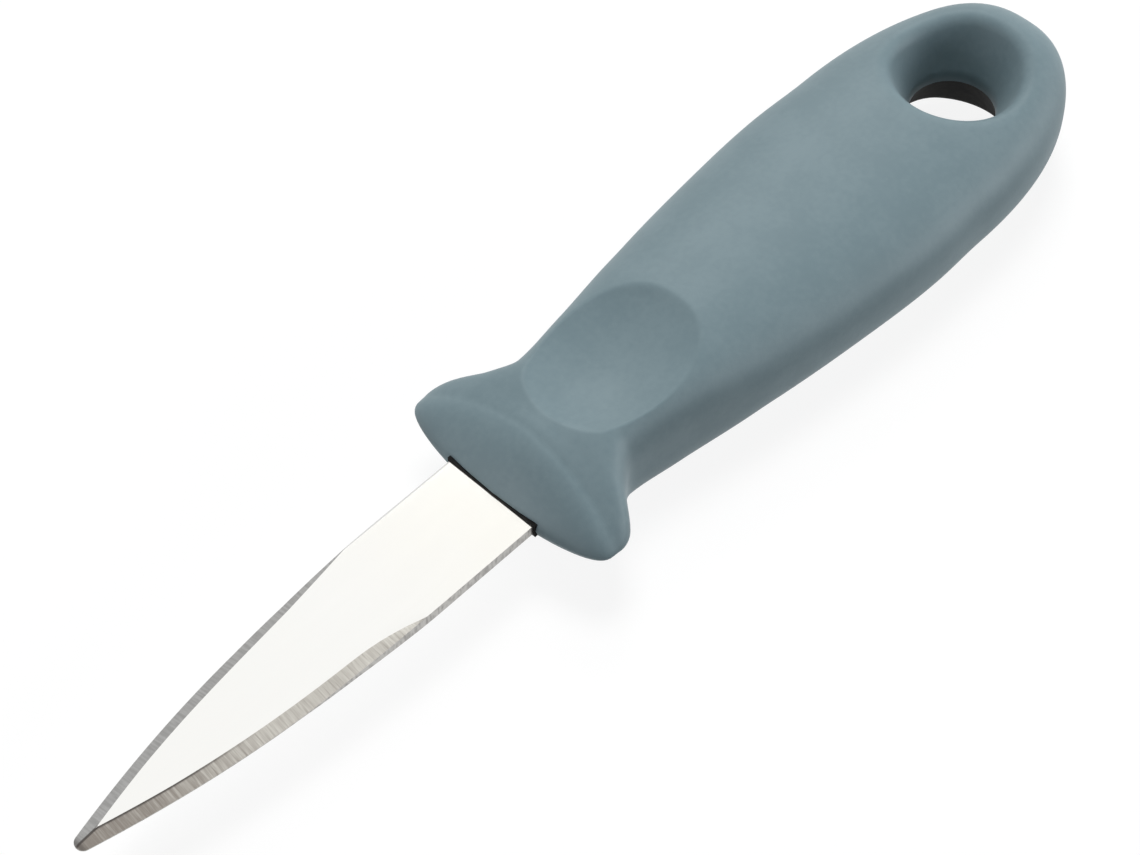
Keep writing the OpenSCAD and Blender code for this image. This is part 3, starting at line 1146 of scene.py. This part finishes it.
    def build(self) -> bpy.types.Object:
        """Builds the closed skin and returns its object.

        Returns:
            The grip, in metres at the origin.
        """
        mid, hole = self.form.mid_z, self.hole
        mesh = self.upper_skin()
        loop = self.open_hole(mesh)
        for left in range(self.blend_steps, 0, -1):
            loop = extrude_loop(mesh, loop, partial(self.closer_point, 1 / left))
        mirror_below(mesh, mid)
        behind = hole.centre_x - hole.outer_radius - NEAR
        below = mid - hole.funnel_height / 2
        upper = self.upper_wall(mesh, select_loop(mesh, lambda co: co.x > behind and co.z > mid))
        lower = self.lower_wall(mesh, select_loop(mesh, lambda co: co.x > behind and co.z < below))
        ends = dict.fromkeys(v for e in upper + lower for v in e.verts)
        bmesh.ops.remove_doubles(mesh, verts=list(ends), dist=NEAR)
        pocket = select_loop(mesh, lambda co: co.x < self.form.rim_x)
        bmesh.ops.holes_fill(mesh, edges=pocket, sides=0)
        piece = finish_mesh(mesh, "soft_grip", self.sharp_angle)
        report(piece)
        return piece

    def dress(self, piece: bpy.types.Object) -> None:
        """Gives the grip its finish.

        Args:
            piece: Finished grip.
        """
        piece.data.materials.append(self.finish.material())


# The black core shows bare in the lower half of the hanging hole and as a collar round the blade, which darkens both
@dataclass(frozen=True)
class Core:
    """Hard core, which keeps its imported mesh."""

    finish: CorePlasticFinish = CorePlasticFinish()

    def dress(self, piece: bpy.types.Object) -> None:
        """Puts the core's finish in the place of its packed material."""
        piece.data.materials.clear()
        piece.data.materials.append(self.finish.material())


@dataclass(frozen=True)
class Heel:
    """End of one bevel: its distance from the tip, the length of its run-out and how blunt that is."""

    place: float
    run: float
    bluntness: float


@dataclass
class Blade:
    """Stamped sheet with two ground edges, a root and a tang.

    Each edge is a long arc from the rounded tip, made fuller by belly over belly_length. The middle line runs off by
    tip_drift at the tip. The bevel is wider by grind_tip_extra at the tip, its edge keeps edge_land of the thickness
    and grows blunt behind fine_edge, and it runs out at its heel.
    """

    tip_x: float
    mid_z: float
    width: float = 13.8
    thickness: float = 1.5
    edge_arc_radius: float = 217.0
    tip_radius: float = 1.1
    tip_drift: float = 0.25
    belly: float = 0.26
    belly_length: float = 35.0
    grind_width: float = 1.5
    grind_tip_extra: float = 0.15
    tip_zone: float = 12.0
    edge_land: float = 0.14
    fine_edge: float = 28.0
    near_heel: Heel = Heel(46.4, 9.0, 2.0)
    far_heel: Heel = Heel(46.8, 28.0, 2.6)
    shoulder: float = 68.0
    tang_width: float = 8.4
    tang_length: float = 52.0
    bevel_columns: int = 2
    flat_columns: int = 10
    tip_turn: float = 84.0
    tip_rows: int = 14
    blade_rows: int = 150
    tang_rows: int = 60
    end_rows: int = 12
    side_normal: float = 0.5
    sharp_angle: float = 9.0

    @property
    def arc_end(self) -> float:
        """Distance from the tip at which the long arcs meet the parallel edges."""
        full = self.edge_arc_radius - self.tip_radius
        return self.tip_radius + math.sqrt(full**2 - (self.edge_arc_radius - self.width / 2) ** 2)

    def half_width(self, s: float) -> float:
        """Half of the blade's width at a distance from the tip.

        Args:
            s: Distance from the tip.

        Returns:
            The half width, with the rounded tip and the belly.
        """
        if s >= self.arc_end:
            return self.width / 2
        arc = self.width / 2 - self.edge_arc_radius + math.sqrt(self.edge_arc_radius**2 - (self.arc_end - s) ** 2)
        arc += self.belly * math.sin(math.pi * clamp_share((s - self.tip_radius) / self.belly_length))
        if s >= self.tip_radius:
            return arc
        return min(arc, math.sqrt(max(0.0, self.tip_radius**2 - (self.tip_radius - s) ** 2)))

    def middle(self, s: float) -> float:
        """Place of the middle line across the knife at a distance from the tip."""
        return -self.tip_drift * max(0.0, 1 - s / self.arc_end)

    def bevel(self, s: float, heel: Heel) -> tuple[float, float]:
        """Width of the bevel and half thickness at the edge.

        Args:
            s: Distance from the tip.
            heel: End of this side's bevel.

        Returns:
            The bevel's width across the blade and half of the thickness left at the edge.
        """
        half = self.thickness / 2
        if s >= heel.place:
            return 0.0, half
        run = max(0.0, (s - heel.place + heel.run) / heel.run)
        extra = self.grind_tip_extra * max(0.0, 1 - s / self.tip_zone)
        width = (self.grind_width + extra) if run <= 0 else self.grind_width * (1 - run**heel.bluntness)
        land = self.edge_land / 2
        if s > self.fine_edge:
            land += (half - land) * (s - self.fine_edge) / (heel.place - self.fine_edge)
        return width, land

    def section(self, s: float, half: float, heel: Heel) -> list[tuple[float, float]]:
        """Corners of one half of the section, from the edge to the bevel's inner line.

        Args:
            s: Distance from the tip.
            half: Half of the width there.
            heel: End of this side's bevel.

        Returns:
            Place across and height above the mid-plane: at the edge's middle, at its corner and at the inner line.
        """
        width, land = self.bevel(s, heel)
        top = self.thickness / 2
        inner = max(0.0, half - width)
        rise = top if width <= 0 else min(top, land + (top - land) * (half - inner) / width)
        return [(half, 0.0), (half, land), (inner, rise)]

    def stations(self) -> list[tuple[float, float]]:
        """Distance from the tip and half width of each row.

        Returns:
            The rows, from the tip to the tang's end.
        """
        turns = steps(0, math.radians(self.tip_turn), self.tip_rows)
        tip = [self.tip_radius * (1 - math.cos(turn)) for turn in turns]
        rows = [(s, self.half_width(s)) for s in tip + steps(tip[-1], self.shoulder, self.blade_rows)[1:]]
        tang = self.tang_width / 2
        straight = self.shoulder + self.tang_length - tang
        rows += [(s, tang) for s in steps(self.shoulder, straight, self.tang_rows)]
        end = steps(0, math.pi / 2, self.end_rows)[1:]
        rows += [(straight + tang * math.sin(turn), tang * math.cos(turn)) for turn in end]
        return rows

    def upper_skin(self) -> BMesh:
        """Upper half of the sheet as a grid laid over its section.

        Returns:
            The mesh, in millimetres.
        """
        rows, rim = self.stations(), self.bevel_columns
        columns = self.flat_columns + 2 * rim
        mesh = bmesh.new()
        bmesh.ops.create_grid(mesh, x_segments=len(rows) - 1, y_segments=columns, size=HALF_UNIT)
        for vertex in mesh.verts:
            s, half = rows[round((vertex.co.x + HALF_UNIT) * (len(rows) - 1))]
            column = round((vertex.co.y + HALF_UNIT) * columns)
            far = [Vector(corner) for corner in self.section(s, half, self.far_heel)]
            near = [Vector((-y, z)) for y, z in self.section(s, half, self.near_heel)]
            if column < rim:
                y, z = near[column]
            elif column > columns - rim:
                y, z = far[columns - column]
            else:
                y, z = near[rim].lerp(far[rim], (column - rim) / self.flat_columns)
            vertex.co = Vector((self.tip_x + s, self.middle(s) + y, self.mid_z + z))
        bmesh.ops.remove_doubles(mesh, verts=mesh.verts, dist=2 * NEAR)
        return mesh

    def mark_zones(self, mesh: BMesh) -> None:
        """Gives each face its zone, and the bevels their share across as a UV map.

        Args:
            mesh: Closed blade with its normals outwards.
        """
        across = mesh.loops.layers.uv.new(ACROSS)
        mesh.normal_update()
        for face in mesh.faces:
            centre = face.calc_center_median()
            s = centre.x - self.tip_x
            y = centre.y - self.middle(s)
            width, _ = self.bevel(s, self.far_heel if y > 0 else self.near_heel)
            ground = self.half_width(s) - abs(y) < width
            upright = abs(face.normal.z) < self.side_normal
            face.material_index = Zone.SIDE if upright else Zone.BEVEL if ground else Zone.FLAT
            for loop in face.loops:
                s = loop.vert.co.x - self.tip_x
                y = loop.vert.co.y - self.middle(s)
                width, _ = self.bevel(s, self.far_heel if y > 0 else self.near_heel)
                inward = self.half_width(s) - abs(y)
                loop[across].uv = (s, 1 - clamp_share(inward / max(width, NEAR)))

    def build(self) -> bpy.types.Object:
        """Builds the closed blade and returns its object.

        Returns:
            The blade, in metres at the origin.
        """
        mesh = self.upper_skin()
        mirror_below(mesh, self.mid_z)
        bmesh.ops.recalc_face_normals(mesh, faces=mesh.faces)
        self.mark_zones(mesh)
        piece = finish_mesh(mesh, "spear_blade", self.sharp_angle)
        report(piece)
        return piece

    def dress(self, piece: bpy.types.Object) -> None:
        """Gives each zone of the blade its finish.

        Args:
            piece: Finished blade, with its zones marked.
        """
        for steel in (PolishedSteelFinish(self.tip_x), GroundSteelFinish(self.tip_x), StampedSteelFinish()):
            piece.data.materials.append(steel.material())


@dataclass(frozen=True)
class SoftBox:
    """Square soft lamp: its place and side in metres, its power in watts, and whether gloss shows it."""

    name: str
    place: Triple
    size: float
    power: float
    colour: Colour
    mirrored: bool = True

    def build(self, target: Triple) -> None:
        """Adds the lamp.

        Args:
            target: Place in metres that it points at.
        """
        data = bpy.data.lights.new(self.name, "AREA")
        data.shape = "SQUARE"
        data.size = self.size
        data.energy = self.power
        data.color = self.colour
        lamp = bpy.data.objects.new(self.name, data)
        lamp.location = self.place
        lamp.rotation_euler = (Vector(target) - lamp.location).to_track_quat("-Z", "Y").to_euler()
        lamp.visible_glossy = self.mirrored
        bpy.context.scene.collection.objects.link(lamp)


@dataclass
class Studio:
    """Plain pale floor, soft lamps, white surroundings and the camera, in metres and degrees.

    A high lamp gives the light, and the sheen of four weaker ones shows on the grip.
    """

    azimuth: float = -44.47
    elevation: float = 53.46
    roll: float = -1.77
    distance: float = 0.32937
    target: Triple = (-0.00516, 0.00033, 0.0088)
    lens: float = 86.70
    nearest: float = 0.01
    floor_size: float = 6.0
    floor_lit: float = 0.35
    floor_seen: float = 0.14
    floor_glow: float = 0.89
    surround: float = 0.0
    boxes: tuple[SoftBox, ...] = (
        SoftBox("top_box", (0.242, 0.242, 0.940), 0.45, 6.7, (1.0, 1.0, 1.0), mirrored=False),
        SoftBox("far_box", (0.525, 0.525, 0.669), 0.25, 2.0, (0.96, 1.0, 1.0)),
        SoftBox("near_box", (0.453, -0.853, 0.259), 0.3, 1.5, (0.80, 0.90, 1.0)),
        SoftBox("low_box", (0.696, -0.696, 0.174), 0.45, 3.0, (1.0, 1.0, 0.98)),
        SoftBox("left_box", (-0.945, 0.253, 0.208), 0.45, 2.5, (0.93, 0.96, 1.0)),
    )

    def camera(self) -> None:
        """Places the camera at the photograph's viewing angle."""
        turn, rise = math.radians(self.azimuth), math.radians(self.elevation)
        back = Vector((math.sin(turn) * math.cos(rise), -math.cos(turn) * math.cos(rise), math.sin(rise)))
        data = bpy.data.cameras.new("camera")
        data.lens = self.lens
        data.clip_start = self.nearest
        camera = bpy.data.objects.new("camera", data)
        level = (-back).to_track_quat("-Z", "Y").to_matrix().to_4x4()
        tilt = Matrix.Rotation(math.radians(self.roll), 4, "Z")
        camera.matrix_world = Matrix.Translation(Vector(self.target) + back * self.distance) @ level @ tilt
        bpy.context.scene.collection.objects.link(camera)
        bpy.context.scene.camera = camera

    def surroundings(self) -> None:
        """World: white where it is seen, and of its own strength where it lights the knife."""
        world = bpy.data.worlds.new("surroundings")
        graph = Graph(world)
        shown = graph.node("ShaderNodeBackground", {}, {"Strength": 1.0, "Color": self.grey(1.0)})
        light = graph.node("ShaderNodeBackground", {}, {"Strength": self.surround, "Color": self.grey(1.0)})
        mix = graph.node("ShaderNodeMixShader", {}, {0: graph.seen(), 1: light.outputs[0], 2: shown.outputs[0]})
        graph.node("ShaderNodeOutputWorld", {}, {0: mix.outputs[0]})
        bpy.context.scene.world = world

    def grey(self, level: float) -> tuple[float, float, float, float]:
        """Opaque grey of a level."""
        return level, level, level, 1.0

    def floor(self) -> None:
        """Pale floor that shows white and still takes the knife's shadow."""
        mesh = bmesh.new()
        bmesh.ops.create_grid(mesh, x_segments=1, y_segments=1, size=self.floor_size / 2)
        data = bpy.data.meshes.new("floor")
        mesh.to_mesh(data)
        mesh.free()
        floor = bpy.data.objects.new("floor", data)
        bpy.context.scene.collection.objects.link(floor)
        material = bpy.data.materials.new("pale_floor")
        graph = Graph(material)
        plain = graph.node("ShaderNodeBsdfDiffuse", {}, {"Color": self.grey(self.floor_lit)})
        soft = graph.node("ShaderNodeBsdfDiffuse", {}, {"Color": self.grey(self.floor_seen)})
        glow = graph.node("ShaderNodeEmission", {}, {"Strength": self.floor_glow})
        both = graph.node("ShaderNodeAddShader", {}, {0: soft.outputs[0], 1: glow.outputs[0]})
        mix = graph.node("ShaderNodeMixShader", {}, {0: graph.seen(), 1: plain.outputs[0], 2: both.outputs[0]})
        graph.node("ShaderNodeOutputMaterial", {}, {0: mix.outputs[0]})
        floor.data.materials.append(material)

    def build(self) -> None:
        """Builds the whole studio."""
        self.camera()
        for box in self.boxes:
            box.build(self.target)
        self.surroundings()
        self.floor()
        bpy.context.scene.view_settings.view_transform = "Standard"


def main() -> None:
    """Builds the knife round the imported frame, then the studio."""
    logging.basicConfig(level=logging.INFO, format="%(name)s: %(message)s")
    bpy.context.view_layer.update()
    low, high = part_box("grip")
    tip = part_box("blade")[0]
    form = HandleForm(face_x=low.x / MM, butt_x=high.x / MM, mid_z=(low.z + high.z) / 2 / MM)
    grip = Grip(form, ThumbHollow(form.hollow_x), HangingHole(form.hole_x), BladeSlot())
    blade = Blade(tip_x=tip.x / MM, mid_z=form.mid_z)
    for part, node in ((grip, "grip"), (blade, "blade")):
        piece = part.build()
        part.dress(piece)
        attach(piece, BODY)
        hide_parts(node)
    Core().dress(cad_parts["handle_core"])
    Studio().build()


if __name__ == "__main__":
    main()
